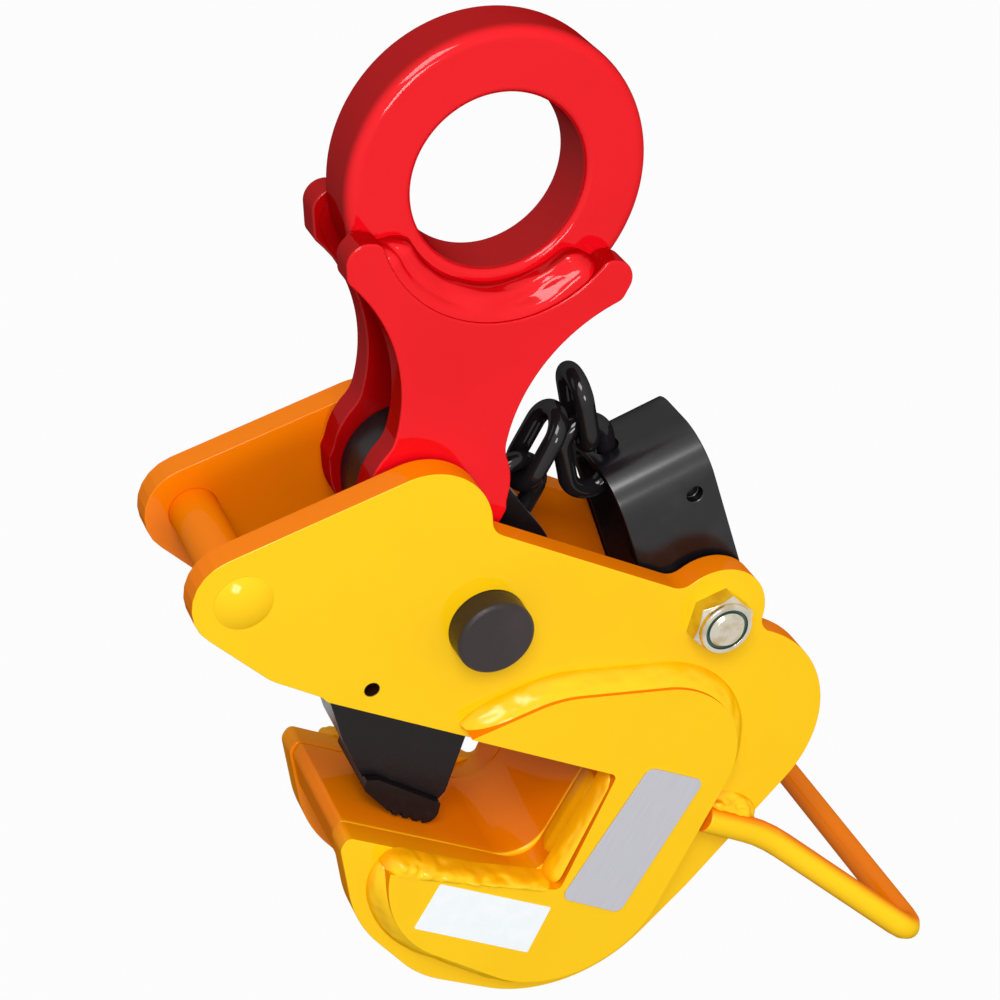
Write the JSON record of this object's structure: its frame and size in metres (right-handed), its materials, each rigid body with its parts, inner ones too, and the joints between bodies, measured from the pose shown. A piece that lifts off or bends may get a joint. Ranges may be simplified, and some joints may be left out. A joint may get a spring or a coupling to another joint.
{
  "type": "horizontal lifting clamp",
  "caption": "Steel-plate lifting clamp: C-shaped jaw, cam with toothed shoe, swinging lifting eye, lock stirrup with chain and a carry handle.",
  "frame": {"origin": "axis of the main pin, midway between the two side plates", "axes": "+X into the throat, +Y along the pins towards the rear plate, +Z square to the jaw floor, upwards"},
  "size_m": [0.4102, 0.1528, 0.3836],
  "materials": {
    "yellow_paint": "thick gloss enamel over steel plate and welds",
    "red_paint": "thick gloss enamel over steel plate and welds",
    "black_paint": "black enamel, half gloss",
    "blackened_steel": "blackened and oiled steel",
    "zinc": "zinc-plated with a faint yellow tint",
    "nylon": "dyed nylon"
  },
  "bodies": {
    "hook": {"front_side_plate": "yellow_paint", "rear_side_plate": "yellow_paint", "front_doubler_plate": "yellow_paint", "rear_doubler_plate": "yellow_paint", "front_doubler_weld": "yellow_paint", "rear_doubler_weld": "yellow_paint", "jaw_liner": "yellow_paint", "spacer_rod": "yellow_paint", "main_pin": "blackened_steel", "front_pin_spacer": "blackened_steel", "rear_pin_spacer": "blackened_steel", "lever_bolt": "zinc", "lock_nut": "zinc", "nut_insert": "nylon", "lever_sleeve": "zinc", "carry_handle": "yellow_paint"},
    "cam": {"cam_body": "black_paint", "cam_shoe": "blackened_steel", "ring_pin": "blackened_steel", "chain_eye": "black_paint"},
    "lifting_eye": {"lifting_ring": "red_paint", "front_ring_arm": "red_paint", "rear_ring_arm": "red_paint", "front_ring_weld": "red_paint", "rear_ring_weld": "red_paint"},
    "stirrup": {"lock_stirrup": "black_paint"},
    "link_1": {"chain_link_1": "black_paint"},
    "link_2": {"chain_link_2": "black_paint"},
    "link_3": {"chain_link_3": "black_paint"}
  },
  "joints": [
    {"name": "cam_turn", "type": "hinge", "parent": "hook", "child": "cam", "pos_m": [0, 0, 0], "axis": [0, 1, 0], "range_deg": [-25, 0]},
    {"name": "eye_swing", "type": "hinge", "parent": "cam", "child": "lifting_eye", "pos_m": [-0.038, 0, 0.035], "axis": [0, 1, 0], "range_deg": [-45, 25]},
    {"name": "stirrup_swing", "type": "hinge", "parent": "hook", "child": "stirrup", "pos_m": [0.0985, 0, 0.0312], "axis": [0, 1, 0], "range_deg": [0, 28]},
    {"name": "link_1_swing", "type": "hinge", "parent": "stirrup", "child": "link_1", "pos_m": [0.03769, 0, 0.0703], "axis": [0, 1, 0], "range_deg": [0, 5]},
    {"name": "link_2_swing", "type": "hinge", "parent": "link_1", "child": "link_2", "pos_m": [0.02531, 0, 0.07064], "axis": [0, 1, 0], "range_deg": [0, 10]},
    {"name": "link_3_swing", "type": "hinge", "parent": "cam", "child": "link_3", "pos_m": [0.006, 0, 0.0458], "axis": [0, 1, 0], "range_deg": [-8, 0]}
  ]
}
